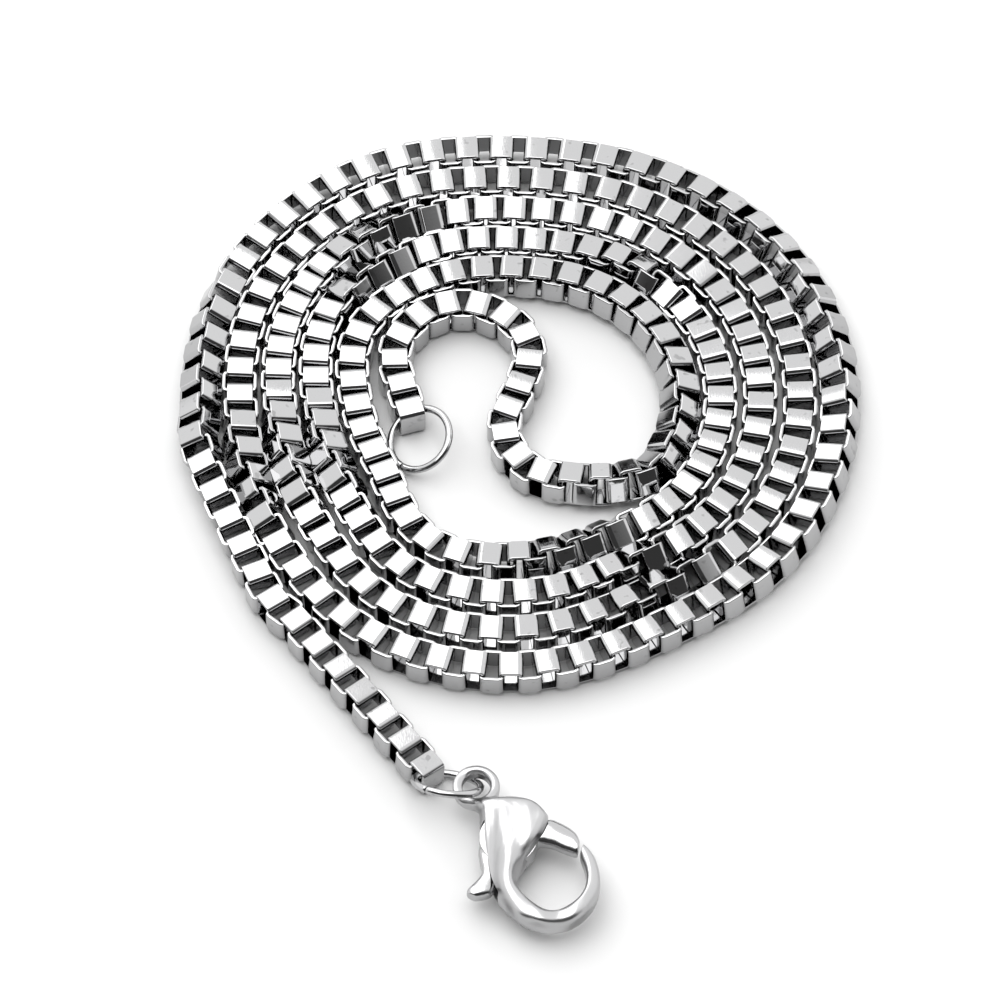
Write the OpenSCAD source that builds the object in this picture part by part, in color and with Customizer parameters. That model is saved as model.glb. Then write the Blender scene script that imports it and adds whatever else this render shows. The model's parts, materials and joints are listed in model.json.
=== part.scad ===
// Box chain, lying coiled flat, with a jump ring at each end and a lobster clasp at the outer one.
// Millimetres. The coil lies on z = 0, +Z is up and +Y points away from the viewer.

/* [Chain] */

// Width of the chain, across its flats
chain_width = 2.5; // [2:0.05:3]
// Width of the strip that each link is bent from
strip_width = 1.9; // [1.4:0.05:2.4]
// Thickness of that strip
strip_thickness = 0.2; // [0.12:0.01:0.3]
// Length of one link along the chain
link_length = 1.81; // [1.4:0.01:2.4]
// Play between two links that hook into each other
link_play = 0.1; // [0.1:0.01:0.3]
// Inner radius of a link's four bends
bend_radius = 0.12; // [0.08:0.01:0.2]
// Links that are built singly in the straight tail
tail_links = 15; // [7:2:15]
// Links that are built singly at the inner end
inner_links = 2; // [1:1:2]

/* [Jump rings] */

// Mean radius of both jump rings
ring_radius = 2.4; // [2.2:0.05:2.7]
// Radius of their wire
ring_wire = 0.28; // [0.2:0.01:0.32]
// Compass bearing of the inner ring's level axis, in degrees
inner_ring_bearing = -69.1; // [-180:0.1:180]
// Lean of the inner ring out of level, in degrees
inner_ring_tilt = 26.9; // [0:0.1:60]
// Compass bearing of the clasp ring's level axis, in degrees
clasp_ring_bearing = 169.8; // [-180:0.1:180]
// Lean of the clasp ring out of level, in degrees
clasp_ring_tilt = 42.6; // [0:0.1:60]

/* [Clasp] */

// From the centre of the eye to the far end of the hook, in plan
clasp_length = 11.6; // [10:0.1:14]
// Thickness of the domed body
clasp_height = 3.9; // [3.2:0.1:4.6]
// Mean radius of the eye
eye_radius = 1.35; // [1.1:0.05:1.6]
// Width of the eye's rim, in plan
eye_rim = 0.7; // [0.5:0.05:0.9]
// Thickness of the eye's rim
eye_height = 1.2; // [0.9:0.02:1.5]
// Thickness of the lever
lever_height = 1.5; // [1.2:0.05:1.8]
// Radius of the lever's hub
hub_radius = 2.1; // [1.8:0.05:2.2]
// Clearance between the lever and its slot
lever_gap = 0.1; // [0.05:0.01:0.2]
// Radius of the hinge pin
pin_radius = 0.5; // [0.4:0.05:0.7]
// Running clearance of the lever on the pin
pin_play = 0.05; // [0.02:0.01:0.1]
// Clearance of the pin in the body
pin_fit = 0.01; // [0.01:0.01:0.03]
// Metal left over the pin's upper end
pin_cover = 0.45; // [0.3:0.05:0.8]
// How far the lever opens, in degrees
lever_travel = 32; // [20:1:35]

/* [Hidden] */
$fn = 48;
W = chain_width;

// Lie of the coil. Columns: azimuth in degrees, reach of the innermost turn in chain widths,
// spacing of the turns in chain widths.
COIL = [
    [0, 4.72, 1.18],
    [30, 4.74, 1.18],
    [60, 4.65, 1.12],
    [90, 4.55, 1.09],
    [120, 4.83, 1.12],
    [150, 4.99, 1.08],
    [180, 4.22, 1.16],
    [210, 3.87, 1.26],
    [240, 4.52, 1.20],
    [270, 4.32, 1.22],
    [300, 4.13, 1.16],
    [330, 4.52, 1.17]
];
// Turn angles where the drawn route of the coil starts and where it runs out into the tail.
COIL_ENDS = [-30, 1635];
coil_centre = [1.5, 6.75];
per_turn = 13;

// Route of the inner end, up to the first turn, and the two ends of the straight tail.
INNER = [
    [-6.65, 6.57], [-7.3, 8.8], [-7.8, 10.9], [-7.3, 13.1], [-5.5, 15.1], [-3.0, 15.9], [-0.5, 15.3],
    [1.5, 13.6], [2.2, 11.2], [1.4, 8.4], [0.4, 5.8], [0.7, 3.4], [2.5, 1.3], [5.2, 0.55], [8.0, 0.4]
];
TAIL = [[-17.2, -8.6], [-5.3, -23.85]];

// Roll of the chain about its own length. Columns: turn angle in degrees, roll in degrees.
ROLL = [
    [-75, 0], [-55, 45], [-30, 60], [0, 60], [30, 75], [60, 90],
    [255, 90], [310, 180], [395, 180], [425, 270], [480, 270], [520, 360], [543, 360], [585, 450],
    [620, 450], [670, 540], [825, 540], [870, 630], [900, 630], [935, 720], [985, 720], [1030, 810],
    [1255, 810], [1293, 900], [1380, 900], [1400, 920], [1440, 930], [1470, 945], [1485, 960],
    [1502, 990], [1590, 990], [1630, 1080]
];

// Outline of the clasp from its neck round to the hook's tip, seen from above, with the eye at 0,0.
// Columns: outer x, outer y, inner x, inner y, all in clasp lengths, then half height in clasp
// heights, then how square the section is.
CLASP = [
    [-0.049, -0.123, 0.118, -0.057, 0.130, 2.0],
    [-0.024, -0.143, 0.173, -0.083, 0.215, 2.0],
    [0.012, -0.167, 0.275, -0.098, 0.340, 2.0],
    [0.020, -0.211, 0.383, -0.145, 0.435, 2.0],
    [0.020, -0.270, 0.455, -0.234, 0.490, 2.0],
    [0.024, -0.330, 0.440, -0.316, 0.500, 2.0],
    [0.032, -0.393, 0.395, -0.409, 0.490, 2.0],
    [0.043, -0.472, 0.342, -0.490, 0.450, 2.1],
    [0.055, -0.562, 0.291, -0.574, 0.405, 2.2],
    [0.075, -0.658, 0.253, -0.645, 0.360, 2.4],
    [0.114, -0.757, 0.254, -0.710, 0.330, 2.6],
    [0.171, -0.847, 0.293, -0.774, 0.305, 2.8],
    [0.257, -0.930, 0.354, -0.833, 0.284, 3.0],
    [0.358, -0.985, 0.425, -0.879, 0.270, 3.0],
    [0.472, -1.000, 0.499, -0.884, 0.266, 3.0],
    [0.592, -0.967, 0.570, -0.845, 0.266, 3.0],
    [0.690, -0.884, 0.625, -0.794, 0.266, 3.0],
    [0.749, -0.772, 0.662, -0.729, 0.262, 3.0],
    [0.761, -0.653, 0.674, -0.653, 0.258, 3.0],
    [0.741, -0.542, 0.664, -0.580, 0.252, 2.8],
    [0.705, -0.468, 0.647, -0.531, 0.245, 2.6],
    [0.662, -0.419, 0.637, -0.491, 0.232, 2.5]
];

// The lever in the clasp's frame, about the pin's centre, in clasp lengths.
pin_at = [0.199, -0.382];
GATE = [
    [0.118, -0.022], [0.231, -0.033], [0.295, -0.055], [0.352, -0.083], [0.405, -0.102],
    [0.427, -0.094], [0.439, -0.010], [0.416, 0.055], [0.370, 0.098], [0.313, 0.132],
    [0.253, 0.150], [0.128, 0.071]
];
TAB = [
    [-0.098, 0.000], [-0.177, -0.016], [-0.186, -0.079], [-0.178, -0.152], [-0.165, -0.211],
    [-0.173, -0.248], [-0.214, -0.301], [-0.257, -0.344], [-0.252, -0.381], [-0.197, -0.407],
    [-0.138, -0.389], [-0.085, -0.346], [-0.033, -0.138]
];

function smooth(a, b, c, d, t) =
    0.5 * (2 * b + (c - a) * t + (2 * a - 5 * b + 4 * c - d) * t * t + (3 * b - a - 3 * c + d) * t * t * t);
function wrap(i) = (i + len(COIL)) % len(COIL);
function row(azimuth, column) =
    let (f = (azimuth + 3600) % 360 / 360 * len(COIL), i = floor(f))
    smooth(COIL[wrap(i - 1)][column], COIL[wrap(i)][column], COIL[wrap(i + 1)][column],
        COIL[wrap(i + 2)][column], f - i);
function coil_radius(turn) = W * (row(turn, 1) + row(turn, 2) * turn / 360);
function on_circle(radius, angle) = [radius * cos(angle), radius * sin(angle)];

// The tube's stations: x, y and roll. Its chords lie half inside and half outside the true turn.
coil_step = 360 / per_turn;
straddle = (1 + 1 / cos(coil_step / 2)) / 2;
tail_way = (TAIL[1] - TAIL[0]) / norm(TAIL[1] - TAIL[0]);
link_pitch = link_length - 2 * strip_thickness - link_play;
tail_built = (tail_links - 1) * link_pitch + link_length / 2;
tube_end = TAIL[1] - tail_way * (tail_built + link_play);
start_way = (INNER[1] - INNER[0]) / norm(INNER[1] - INNER[0]);
inner_built = (inner_links - 1) * link_pitch + link_length / 2;
STATIONS = concat(
    [concat(INNER[0] + start_way * (inner_built + link_play), [0])],
    [for (i = [2:len(INNER) - 1])
        concat(INNER[i], [i < len(INNER) - 3 ? 0
            : lookup(atan2(INNER[i].y - coil_centre.y, INNER[i].x - coil_centre.x), ROLL)])],
    [for (turn = [COIL_ENDS[0]:coil_step:COIL_ENDS[1]])
        concat(coil_centre + on_circle(coil_radius(turn) * straddle, turn), [lookup(turn, ROLL)])],
    [concat(tube_end - tail_way * W, [1080]), concat(tube_end, [1080])]
);
function way(i) =
    i == 0 ? start_way
    : i >= len(STATIONS) - 2 ? tail_way
    : let (a = STATIONS[i - 1], b = STATIONS[i], c = STATIONS[i + 1],
        p = [b.x - a.x, b.y - a.y], q = [c.x - b.x, c.y - b.y], s = p / norm(p) + q / norm(q))
    s / norm(s);
// A quarter turn looks the same, so each station takes the nearest of them to the one before.
UNWOUND = [for (i = 0, f = 0; i < len(STATIONS);
    i = i + 1, f = i < len(STATIONS) ? STATIONS[i][2] - 90 * round((STATIONS[i][2] - f) / 90) : f) f];
function half_height(roll) =
    let (a = abs(roll - 90 * round(roll / 90))) W / 2 * cos(a) + strip_width / 2 * sin(a);
CORNERS = [
    [W, strip_width] / 2, [strip_width, W] / 2, [-strip_width, W] / 2, [-W, strip_width] / 2,
    [-W, -strip_width] / 2, [-strip_width, -W] / 2, [strip_width, -W] / 2, [W, -strip_width] / 2
];
TUBE = [for (i = [0:len(STATIONS) - 1])
    let (s = STATIONS[i], w = way(i), left = [-w.y, w.x], f = UNWOUND[i], up = half_height(s[2]))
    for (c = CORNERS)
        let (u = c.x * cos(f) - c.y * sin(f), v = c.x * sin(f) + c.y * cos(f))
        [s.x + left.x * u, s.y + left.y * u, up + v]];

// Faces of a swept skin with rings of n points each.
function skin(rings, n) = concat(
    [[for (k = [0:n - 1]) k]],
    [for (i = [0:rings - 2]) for (k = [0:n - 1])
        for (half = [0, 1])
            let (a = i * n + k, b = i * n + (k + 1) % n)
            half == 0 ? [a, a + n, b + n] : [a, b + n, b]],
    [[for (k = [n - 1:-1:0]) (rings - 1) * n + k]]
);

// The rings' frames: x along the level axis, z along the ring's own axis.
function ring_point(bearing, tilt, angle) =
    let (h = [cos(bearing), sin(bearing), 0],
        g = [-sin(bearing) * cos(tilt), cos(bearing) * cos(tilt), sin(tilt)])
    cos(angle) * h + sin(angle) * g;
inner_link = [INNER[0].x, INNER[0].y, W / 2];
outer_link = [TAIL[1].x, TAIL[1].y, W / 2];
inner_ring_at = inner_link + [-0.114, 0.082, 0.17]
    - ring_radius * ring_point(inner_ring_bearing, inner_ring_tilt, 180);
clasp_ring_at = outer_link + [-0.138, -0.003, -0.183]
    - ring_radius * ring_point(clasp_ring_bearing, clasp_ring_tilt, 322.3);
in_eye = clasp_ring_at + ring_radius * ring_point(clasp_ring_bearing, clasp_ring_tilt, 182.7);
eye_at = [in_eye.x - 0.314, in_eye.y + 0.03, clasp_height / 2];

// The clasp's skin, about the eye's centre.
clasp_sides = 16;
HOOK = [for (r = CLASP)
    for (k = [0:clasp_sides - 1])
        let (a = 360 * k / clasp_sides, e = 2 / r[5],
            c = sign(cos(a)) * pow(abs(cos(a)), e), s = sign(sin(a)) * pow(abs(sin(a)), e))
        [clasp_length * ((r[0] + r[2]) / 2 - (r[0] - r[2]) / 2 * c),
            clasp_length * ((r[1] + r[3]) / 2 - (r[1] - r[3]) / 2 * c),
            clasp_height * r[4] * s]];

// Middle of the whole piece, as it lies.
x_low = min([for (p = TUBE) p.x]);
x_high = max([for (p = TUBE) p.x]);
y_low = eye_at.y + min([for (p = HOOK) p.y]);
y_high = max([for (p = TUBE) p.y]);
middle = [(x_low + x_high) / 2, (y_low + y_high) / 2, 0];

module loop(hole) {
    for (x = [-1, 1], y = [-1, 1])
        translate([x * (link_length / 2 - strip_thickness - bend_radius), y * (W / 2 - strip_thickness - bend_radius)])
            circle(r = bend_radius + (hole ? 0 : strip_thickness), $fn = 16);
    square([link_length - (hole ? 2 * strip_thickness : 0), W - 2 * (strip_thickness + bend_radius)], center = true);
    square([link_length - 2 * (strip_thickness + bend_radius), W - (hole ? 2 * strip_thickness : 0)], center = true);
}

// One link, its length along x. Upright links have their hole across the chain.
module link(upright) {
    rotate([upright ? 90 : 0, 0, 0])
        linear_extrude(height = strip_width, center = true)
            difference() {
                loop(false);
                loop(true);
            }
}

module ring() {
    rotate_extrude()
        translate([ring_radius, 0])
            circle(r = ring_wire, $fn = 24);
}

module turned_ring(at, bearing, tilt) {
    translate(at)
        rotate([0, 0, bearing])
            rotate([tilt, 0, 0])
                ring();
}

module chain_coil() {
    color("silver")
        translate(-middle) {
            polyhedron(points = TUBE, faces = skin(len(STATIONS), len(CORNERS)), convexity = 10);
            for (i = [0:inner_links - 1])
                translate(inner_link + [start_way.x, start_way.y, 0] * i * link_pitch)
                    rotate([0, 0, atan2(start_way.y, start_way.x)])
                        link(i % 2 == 0);
        }
}

module chain_tail() {
    color("silver")
        for (i = [0:tail_links - 1])
            translate(outer_link - middle - [tail_way.x, tail_way.y, 0] * i * link_pitch)
                rotate([0, 0, atan2(tail_way.y, tail_way.x)])
                    link(i % 2 == 0);
}

module ring_inner() {
    color("gainsboro")
        translate(-middle)
            turned_ring(inner_ring_at, inner_ring_bearing, inner_ring_tilt);
}

module ring_clasp() {
    color("gainsboro")
        translate(-middle)
            turned_ring(clasp_ring_at, clasp_ring_bearing, clasp_ring_tilt);
}

module eye() {
    rotate_extrude()
        translate([eye_radius, 0]) {
            square([eye_rim, eye_height - eye_rim], center = true);
            for (y = [-1, 1])
                translate([0, y * (eye_height - eye_rim) / 2])
                    circle(d = eye_rim, $fn = 24);
        }
}

// A flat wedge about the pin, from one bearing to another.
module wedge(radius, from, to) {
    polygon(concat([[0, 0]], [for (i = [0:8]) on_circle(radius, from + (to - from) * i / 8)]));
}

// Bearings of a shape's points outside the hub, seen from the pin.
function bearings(shape) = [for (p = shape) if (norm(p) * clasp_length > hub_radius) atan2(p.y, p.x)];
slot_spare = 1.5 * asin(lever_gap / hub_radius);

module lever_slot() {
    translate(pin_at * clasp_length)
        linear_extrude(height = lever_height + 2 * lever_gap, center = true) {
            circle(r = hub_radius + lever_gap);
            for (shape = [GATE, TAB])
                wedge(clasp_length * 0.42, max(bearings(shape)) + slot_spare,
                    min(bearings(shape)) - slot_spare - lever_travel);
        }
}

module clasp_body() {
    color("lightgray")
        translate(eye_at - middle)
            difference() {
                union() {
                    polyhedron(points = HOOK, faces = skin(len(CLASP), clasp_sides), convexity = 6);
                    eye();
                }
                lever_slot();
                translate([pin_at.x * clasp_length, pin_at.y * clasp_length, -clasp_height])
                    cylinder(r = pin_radius + pin_fit, h = clasp_height * 1.5 - pin_cover);
            }
}

module clasp_lever() {
    color("darkgray")
        translate(eye_at - middle)
            translate(pin_at * clasp_length)
                difference() {
                    linear_extrude(height = lever_height, center = true) {
                        circle(r = hub_radius);
                        polygon(GATE * clasp_length);
                        polygon(TAB * clasp_length);
                    }
                    cylinder(r = pin_radius + pin_play, h = clasp_height, center = true);
                }
}

module clasp_pin() {
    color("gray")
        translate(eye_at - middle)
            translate([pin_at.x * clasp_length, pin_at.y * clasp_length, -clasp_height / 2 + pin_cover / 2])
                cylinder(r = pin_radius, h = clasp_height - pin_cover * 1.5 - link_play);
}

chain_coil();
chain_tail();
ring_inner();
ring_clasp();
clasp_body();
clasp_lever();
clasp_pin();
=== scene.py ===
"""Box chain necklace lying in a flat coil, with a jump ring at each end and a lobster clasp.

The coil's table is in chain widths and the clasp's tables are in clasp lengths. Other values
named below are in mm and degrees where nothing else is said, and the settings in the property
groups are in metres and radians.
"""

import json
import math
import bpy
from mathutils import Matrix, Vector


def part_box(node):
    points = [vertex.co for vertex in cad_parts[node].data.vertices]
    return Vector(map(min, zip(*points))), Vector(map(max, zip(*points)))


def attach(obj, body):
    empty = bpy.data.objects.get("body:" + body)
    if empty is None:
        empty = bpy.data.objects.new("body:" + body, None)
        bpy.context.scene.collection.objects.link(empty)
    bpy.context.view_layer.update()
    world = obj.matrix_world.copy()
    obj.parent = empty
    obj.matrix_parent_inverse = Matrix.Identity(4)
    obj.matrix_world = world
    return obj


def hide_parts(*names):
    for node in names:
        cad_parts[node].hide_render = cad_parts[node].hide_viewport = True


bl_info = {
    "name": "Box chain necklace",
    "version": (1, 0, 0),
    "blender": (4, 5, 0),
    "location": "View3D > Sidebar > Box chain",
    "description": "Lays box links along a coiled route and dresses the jump rings and the clasp",
    "category": "Object",
}

import bmesh
import bpy
import numpy as np
from mathutils import Vector

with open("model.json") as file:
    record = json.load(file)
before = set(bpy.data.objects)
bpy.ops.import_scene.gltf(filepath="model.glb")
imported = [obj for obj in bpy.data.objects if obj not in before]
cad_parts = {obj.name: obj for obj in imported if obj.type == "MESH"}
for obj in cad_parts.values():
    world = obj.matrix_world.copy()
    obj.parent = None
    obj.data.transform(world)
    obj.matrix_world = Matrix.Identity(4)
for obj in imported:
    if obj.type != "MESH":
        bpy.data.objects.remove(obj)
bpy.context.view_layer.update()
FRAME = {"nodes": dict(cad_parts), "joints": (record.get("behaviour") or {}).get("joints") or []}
MM = 0.001

# Lie of the coil: azimuth in degrees, reach of the innermost turn in chain widths, spacing of the
# turns in chain widths.
COIL = (
    (0, 4.72, 1.18),
    (30, 4.74, 1.18),
    (60, 4.65, 1.12),
    (90, 4.55, 1.09),
    (120, 4.83, 1.12),
    (150, 4.99, 1.08),
    (180, 4.22, 1.16),
    (210, 3.87, 1.26),
    (240, 4.52, 1.20),
    (270, 4.32, 1.22),
    (300, 4.13, 1.16),
    (330, 4.52, 1.17),
)
COIL_CENTRE = (1.5, 6.75)
COIL_FROM, COIL_TO, COIL_STEP = -30, 1630, 10

# Route of the inner end up to the first turn, in mm. All its points lie at one turn angle, but for
# the last few, which already turn with the coil.
INNER_END = (
    (-6.65, 6.57), (-7.3, 8.8), (-7.8, 10.9), (-7.3, 13.1), (-5.5, 15.1), (-3.0, 15.9), (-0.5, 15.3),
    (1.5, 13.6), (2.2, 11.2), (1.4, 8.4), (0.4, 5.8), (0.7, 3.4), (2.5, 1.3), (5.2, 0.55), (8.0, 0.4),
)
INNER_TURN = -90
INNER_TURNING = 3

# The two ends of the straight tail, in mm, its parts, and the turn angle of its first point and
# from each point to the next.
TAIL = ((-17.2, -8.6), (-5.3, -23.85))
TAIL_PARTS = 6
TAIL_FROM, TAIL_STEP = 1655, 5

# Points laid between two points of the route, and how far ahead and behind a link's heading is
# taken, in mm.
ROUTE_FINE = 12
HEADING_REACH = 0.4

# Roll of the chain about its own length: turn angle, roll, both in degrees.
ROLL = (
    (-90, 0), (-72, 0), (-58, 11), (-46, 27), (-30, 40), (-15, 42), (0, 50), (15, 63), (30, 72), (60, 82),
    (90, 84), (130, 90), (252, 90), (262, 96), (270, 109), (278, 121), (285, 128), (298, 140), (308, 155),
    (318, 170), (326, 180), (386, 180), (398, 193), (405, 212), (411, 235), (418, 250), (428, 262),
    (438, 270), (466, 270), (475, 284), (482, 300), (490, 308), (497, 322), (503, 338), (509, 350),
    (516, 357), (525, 360), (532, 360), (540, 370), (548, 382), (556, 398), (563, 412), (570, 425),
    (580, 437), (592, 450), (622, 450), (628, 453.5), (640, 454), (648, 457), (655, 461), (661, 480),
    (667, 500), (671, 512), (676, 529), (684, 535), (693, 538), (702, 540), (768, 540), (785, 541.4),
    (812, 541.4), (822, 546), (829, 568), (838, 576), (845, 590), (851, 603), (857, 614), (864, 622),
    (872, 630), (893, 630), (900, 640), (908, 655), (915, 673), (920, 685), (930, 700), (943, 720),
    (983, 720), (988, 723.3), (1000, 726), (1010, 731), (1018, 740), (1026, 760), (1033, 775),
    (1040, 790), (1046, 802), (1053, 810), (1255, 810), (1265, 823), (1272, 833), (1280, 858),
    (1286, 871), (1292, 886), (1300, 900), (1345, 900), (1380, 906), (1400, 914), (1420, 915),
    (1432, 918), (1440, 922), (1447, 934), (1455, 942), (1470, 955), (1480, 961), (1490, 970),
    (1500, 978), (1515, 986), (1530, 990), (1585, 990), (1600, 1021), (1610, 1030), (1620, 1037),
    (1625, 1044), (1630, 1056), (1640, 1066), (1652, 1080), (1664, 1080), (1670, 1083.5),
)

# How close the links are pushed together: turn angle, share of the link pitch.
CROWDING = (
    (-90, 0.86), (-20, 0.82), (30, 0.84), (110, 0.84), (140, 0.86), (170, 0.82), (200, 0.78), (220, 0.80),
    (235, 0.92), (252, 0.95), (262, 0.84), (300, 0.82), (320, 0.85), (345, 0.78), (375, 0.78), (395, 0.75),
    (420, 0.80), (460, 0.80), (480, 0.78), (510, 0.76), (540, 0.75), (575, 0.77), (592, 0.97), (610, 0.92),
    (635, 0.90), (650, 0.80), (690, 0.90), (712, 0.90), (730, 0.78), (752, 0.78), (768, 0.87), (800, 0.84),
    (835, 0.80), (860, 0.75), (890, 0.75), (920, 0.77), (938, 0.85), (950, 0.98), (1040, 0.98), (1060, 0.94),
    (1100, 0.92), (1170, 0.97), (1210, 0.93), (1240, 0.90), (1280, 0.92), (1300, 1.00), (1420, 1.01),
    (1440, 0.98), (1550, 1.00), (1570, 0.94), (1600, 0.94), (1640, 0.97), (1700, 0.99),
)

# How the light sees each face of a link lean, at its first and its last edge, so that the narrow
# broken edges look rounded, in degrees from straight out: upper broken edge, upper rim, inside,
# lower rim, lower broken edge, outer face.
LINK_LEAN = ((0, 60), (76, 106), (180, 180), (-106, -76), (-60, 0), (0, 0))
INSIDE_FACE = 2

# The frame's origin is the middle of the whole piece, the tables' origin is on the coil. The inner
# ring's place in the tables, in mm, ties the two.
INNER_RING = (-5.90783, 4.40991)

# Each jump ring's bearing, tilt and where its butt joint is, in degrees.
RINGS = {
    "ring_inner": (-69.1, 26.9, 300),
    "ring_clasp": (169.8, 42.6, 60),
}

# Steps round a jump ring, sides of its wire, and how thick the wire is at its two broken ends.
WIRE_STEPS, WIRE_SIDES = 120, 20
WIRE_END = 0.93

# Clasp from its neck round to the hook's tip, about the eye's centre: outer x, outer y, inner x,
# inner y in clasp lengths, half height in clasp heights, squareness of the section.
CLASP = (
    (-0.049, -0.123, 0.118, -0.057, 0.130, 2.0),
    (-0.024, -0.143, 0.173, -0.083, 0.215, 2.0),
    (0.012, -0.167, 0.275, -0.098, 0.340, 2.0),
    (0.020, -0.211, 0.383, -0.145, 0.435, 2.0),
    (0.020, -0.270, 0.455, -0.234, 0.490, 2.0),
    (0.024, -0.330, 0.440, -0.316, 0.500, 2.0),
    (0.032, -0.393, 0.395, -0.409, 0.490, 2.0),
    (0.043, -0.472, 0.342, -0.490, 0.450, 2.1),
    (0.055, -0.562, 0.291, -0.574, 0.405, 2.2),
    (0.075, -0.658, 0.253, -0.645, 0.360, 2.4),
    (0.114, -0.757, 0.254, -0.710, 0.330, 2.6),
    (0.171, -0.847, 0.293, -0.774, 0.305, 2.8),
    (0.257, -0.930, 0.354, -0.833, 0.284, 3.0),
    (0.358, -0.985, 0.425, -0.879, 0.270, 3.0),
    (0.472, -1.000, 0.499, -0.884, 0.266, 3.0),
    (0.592, -0.967, 0.570, -0.845, 0.266, 3.0),
    (0.690, -0.884, 0.625, -0.794, 0.266, 3.0),
    (0.749, -0.772, 0.662, -0.729, 0.262, 3.0),
    (0.761, -0.653, 0.674, -0.653, 0.258, 3.0),
    (0.741, -0.542, 0.664, -0.580, 0.252, 2.8),
    (0.705, -0.468, 0.647, -0.531, 0.245, 2.6),
    (0.662, -0.419, 0.637, -0.491, 0.232, 2.5),
)
PIN_AT = (0.199, -0.382)

# The dome's upper ridge leans by this share of the half width. The lean sets in where the half
# height in clasp heights passes DOME_FROM and is full DOME_RISE higher, and it grows towards the
# ridge by the power given.
DOME_LEAN = 0.4
DOME_FROM, DOME_RISE = 0.3, 0.15
DOME_POWER = 3

# The lever's gate arm and thumb tab about the pin: one edge x, y and the other edge x, y in clasp
# lengths, half height in lever heights, squareness of the section.
GATE = (
    (0.103, -0.022, 0.103, 0.059, 0.47, 3.4),
    (0.172, -0.028, 0.172, 0.100, 0.48, 3.2),
    (0.220, -0.033, 0.253, 0.149, 0.49, 2.4),
    (0.276, -0.047, 0.313, 0.130, 0.49, 2.2),
    (0.325, -0.070, 0.370, 0.096, 0.48, 2.2),
    (0.369, -0.088, 0.415, 0.053, 0.47, 2.2),
    (0.405, -0.101, 0.434, 0.012, 0.46, 2.2),
    (0.425, -0.096, 0.439, -0.016, 0.42, 2.2),
)
TAB = (
    (-0.173, -0.010, -0.020, -0.059, 0.46, 3.4),
    (-0.185, -0.079, -0.033, -0.138, 0.46, 3.2),
    (-0.177, -0.152, -0.047, -0.197, 0.46, 3.2),
    (-0.165, -0.211, -0.061, -0.257, 0.46, 3.0),
    (-0.173, -0.248, -0.078, -0.311, 0.45, 2.8),
    (-0.213, -0.300, -0.099, -0.371, 0.43, 2.8),
    (-0.251, -0.340, -0.146, -0.396, 0.40, 2.6),
    (-0.257, -0.374, -0.194, -0.405, 0.32, 2.4),
)

# How finely the clasp and the lever are laid: sides of a section and sections for each row of a
# table, sides of the eye's section and steps round the eye, sides of the hub and of a bore, and
# steps round a slot's arm.
SKIN_SIDES, SKIN_FINE = 36, 5
EYE_SIDES, EYE_STEPS = 24, 72
HUB_SIDES, BORE_SIDES = 64, 32
WEDGE_STEPS = 12

# The slot's arms reach this far from the pin in clasp lengths, and stand off the lever's arms by
# this many gaps at the hub's rim.
SLOT_REACH = 0.42
SLOT_SPARE = 1.5

# Play of the pin in the body and in the lever, and the body's roof over the pin, in mm.
PRESSED_PLAY, RUNNING_PLAY = 0.01, 0.05
PIN_ROOF = 0.45

# Grain of the grown castings in mm, how often each is softened and how much each time. Edges
# sharper than CRISP degrees stay crisp.
BODY_GRAIN, BODY_SOFT = 0.055, 7
LEVER_GRAIN, LEVER_SOFT = 0.05, 6
SOFTENING = 0.5
CRISP = 38

# Marks on the steel: how many times finer scratches are than smudges, noise scale of the waves and
# of the flecks, full depth of scratches and waves in mm, and the share of the colour that a fleck
# keeps.
SCRATCH_SCALE = 12
WAVE_SCALE, FLECK_SCALE = 540, 1500
SCRATCH_DEPTH, WAVE_DEPTH = 0.02, 1.3
FLECK_SHADE = 0.72

# How many times rougher than the links the other pieces are, and the share of the steel's colour
# that the lever has.
RING_ROUGH, CLASP_ROUGH, LEVER_ROUGH = 1.5, 5.5, 3.5
LEVER_SHADE = 0.96

# The camera: height of its line of sight in degrees, lens and sensor in mm, nearest and farthest
# thing seen in metres, and how many pixels the photo has along a side and for each mm.
CAMERA_ELEVATION = 58
CAMERA_LENS, CAMERA_SENSOR = 288, 36
CAMERA_CLIP = (0.01, 10)
PHOTO_SIDE, PIXELS_PER_MM = 1000, 13.6

# The softbox overhead in metres, watts and degrees, the floor's reach in metres, and the room's
# brightness on the camera's side and on the far side, fading between two values of the y that
# points to the far side.
SOFTBOX_AT = (-0.1995, 0.2093, 0.5)
SOFTBOX_SIZE = (0.5, 0.9)
SOFTBOX_POWER = 3.2
SOFTBOX_TURN = 27.3
FLOOR_REACH = 3
ROOM_NEAR, ROOM_FAR = 0.07, 1.48
ROOM_FADE = (-0.5, -0.05)


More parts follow.
